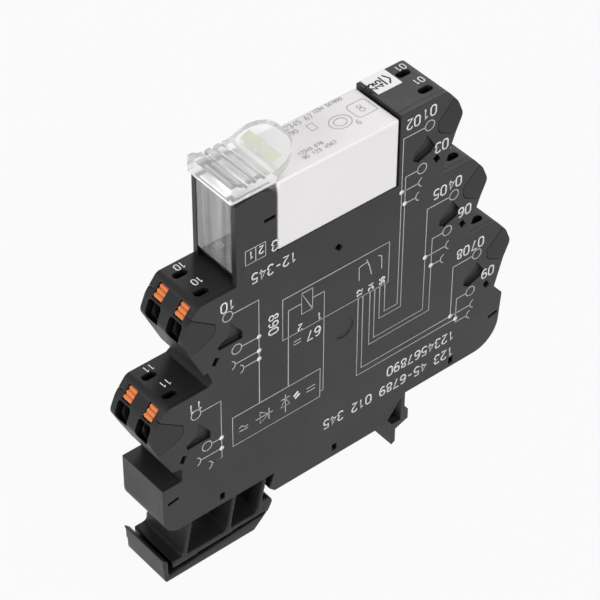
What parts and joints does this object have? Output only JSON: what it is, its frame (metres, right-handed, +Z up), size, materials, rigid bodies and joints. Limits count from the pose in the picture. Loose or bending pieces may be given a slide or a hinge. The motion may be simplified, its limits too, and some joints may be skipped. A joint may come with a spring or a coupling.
{
  "type": "interface relay",
  "caption": "Narrow plug-in relay module with tiered wire terminals, orange release pushers, a clear ejector lever and a sliding foot for a top-hat rail.",
  "frame": {"origin": "middle of the rail seat, where the module rests on the top of a 35 mm top-hat rail", "axes": "+Z up from the rail to the module's front, +X along the module from the coil terminals to the contact terminals, Y across its narrow width with the side cover on -Y"},
  "size_m": [0.0905, 0.0128, 0.0927],
  "materials": {
    "housing_plastic": "fine satin grain",
    "terminal_plastic": "satin",
    "orange_plastic": "satin",
    "relay_plastic": "fine satin",
    "relay_base_plastic": "satin",
    "clear_plastic": "clear, polished",
    "copper": "tinned strip",
    "spring_steel": "bright",
    "board_laminate": "solder mask",
    "component_black": "moulded",
    "lamp_lens": "diffused",
    "marker_white": "smooth"
  },
  "bodies": {
    "housing": {"housing_shell": "housing_plastic", "side_cover": "housing_plastic", "a1_terminal_block": "terminal_plastic", "a2_terminal_block": "terminal_plastic", "no_terminal_block": "terminal_plastic", "com_terminal_block": "terminal_plastic", "nc_terminal_block": "terminal_plastic", "a1_current_bars": "copper", "a2_current_bars": "copper", "no_current_bars": "copper", "com_current_bars": "copper", "nc_current_bars": "copper", "a1_clamp_springs": "spring_steel", "a2_clamp_springs": "spring_steel", "no_clamp_springs": "spring_steel", "com_clamp_springs": "spring_steel", "nc_clamp_springs": "spring_steel", "relay_socket": "terminal_plastic", "socket_contacts": "copper", "circuit_board": "board_laminate", "board_parts": "component_black", "status_lamp": "lamp_lens", "marker_plate": "marker_white"},
    "relay": {"relay_case": "relay_plastic", "relay_base": "relay_base_plastic", "relay_blades": "copper"},
    "ejector": {"ejector_lever": "clear_plastic"},
    "foot": {"rail_foot": "housing_plastic"},
    "a1_pusher_near": {"a1_pusher_near": "orange_plastic"},
    "a1_pusher_far": {"a1_pusher_far": "orange_plastic"},
    "a2_pusher_near": {"a2_pusher_near": "orange_plastic"},
    "a2_pusher_far": {"a2_pusher_far": "orange_plastic"},
    "no_pusher_near": {"no_pusher_near": "orange_plastic"},
    "no_pusher_far": {"no_pusher_far": "orange_plastic"},
    "com_pusher_near": {"com_pusher_near": "orange_plastic"},
    "com_pusher_far": {"com_pusher_far": "orange_plastic"},
    "nc_pusher_near": {"nc_pusher_near": "orange_plastic"},
    "nc_pusher_far": {"nc_pusher_far": "orange_plastic"}
  },
  "joints": [
    {"name": "ejector_hinge", "type": "hinge", "parent": "housing", "child": "ejector", "pos_m": [-0.0219, 0, 0.0617], "axis": [0, -1, 0], "range_deg": [0, 35]},
    {"name": "relay_lift", "type": "slide", "parent": "housing", "child": "relay", "axis": [0, 0, 1], "range_m": [0, 0.0058]},
    {"name": "foot_slide", "type": "slide", "parent": "housing", "child": "foot", "axis": [-1, 0, 0], "range_m": [0, 0.002], "stiffness_N_per_m": 6000},
    {"name": "a1_pusher_near_press", "type": "slide", "parent": "housing", "child": "a1_pusher_near", "axis": [0.9258, 0, -0.3781], "range_m": [0, 0.0015], "stiffness_N_per_m": 4000},
    {"name": "a1_pusher_far_press", "type": "slide", "parent": "housing", "child": "a1_pusher_far", "axis": [0.9258, 0, -0.3781], "range_m": [0, 0.0015], "stiffness_N_per_m": 4000},
    {"name": "a2_pusher_near_press", "type": "slide", "parent": "housing", "child": "a2_pusher_near", "axis": [0.9258, 0, -0.3781], "range_m": [0, 0.0015], "stiffness_N_per_m": 4000},
    {"name": "a2_pusher_far_press", "type": "slide", "parent": "housing", "child": "a2_pusher_far", "axis": [0.9258, 0, -0.3781], "range_m": [0, 0.0015], "stiffness_N_per_m": 4000},
    {"name": "no_pusher_near_press", "type": "slide", "parent": "housing", "child": "no_pusher_near", "axis": [-0.9258, 0, -0.3781], "range_m": [0, 0.0015], "stiffness_N_per_m": 4000},
    {"name": "no_pusher_far_press", "type": "slide", "parent": "housing", "child": "no_pusher_far", "axis": [-0.9258, 0, -0.3781], "range_m": [0, 0.0015], "stiffness_N_per_m": 4000},
    {"name": "com_pusher_near_press", "type": "slide", "parent": "housing", "child": "com_pusher_near", "axis": [-0.9258, 0, -0.3781], "range_m": [0, 0.0015], "stiffness_N_per_m": 4000},
    {"name": "com_pusher_far_press", "type": "slide", "parent": "housing", "child": "com_pusher_far", "axis": [-0.9258, 0, -0.3781], "range_m": [0, 0.0015], "stiffness_N_per_m": 4000},
    {"name": "nc_pusher_near_press", "type": "slide", "parent": "housing", "child": "nc_pusher_near", "axis": [-0.9258, 0, -0.3781], "range_m": [0, 0.0015], "stiffness_N_per_m": 4000},
    {"name": "nc_pusher_far_press", "type": "slide", "parent": "housing", "child": "nc_pusher_far", "axis": [-0.9258, 0, -0.3781], "range_m": [0, 0.0015], "stiffness_N_per_m": 4000}
  ],
  "couplings": [
    {"joint": "relay_lift", "follows": "ejector_hinge", "m_per_rad": 0.0094}
  ]
}
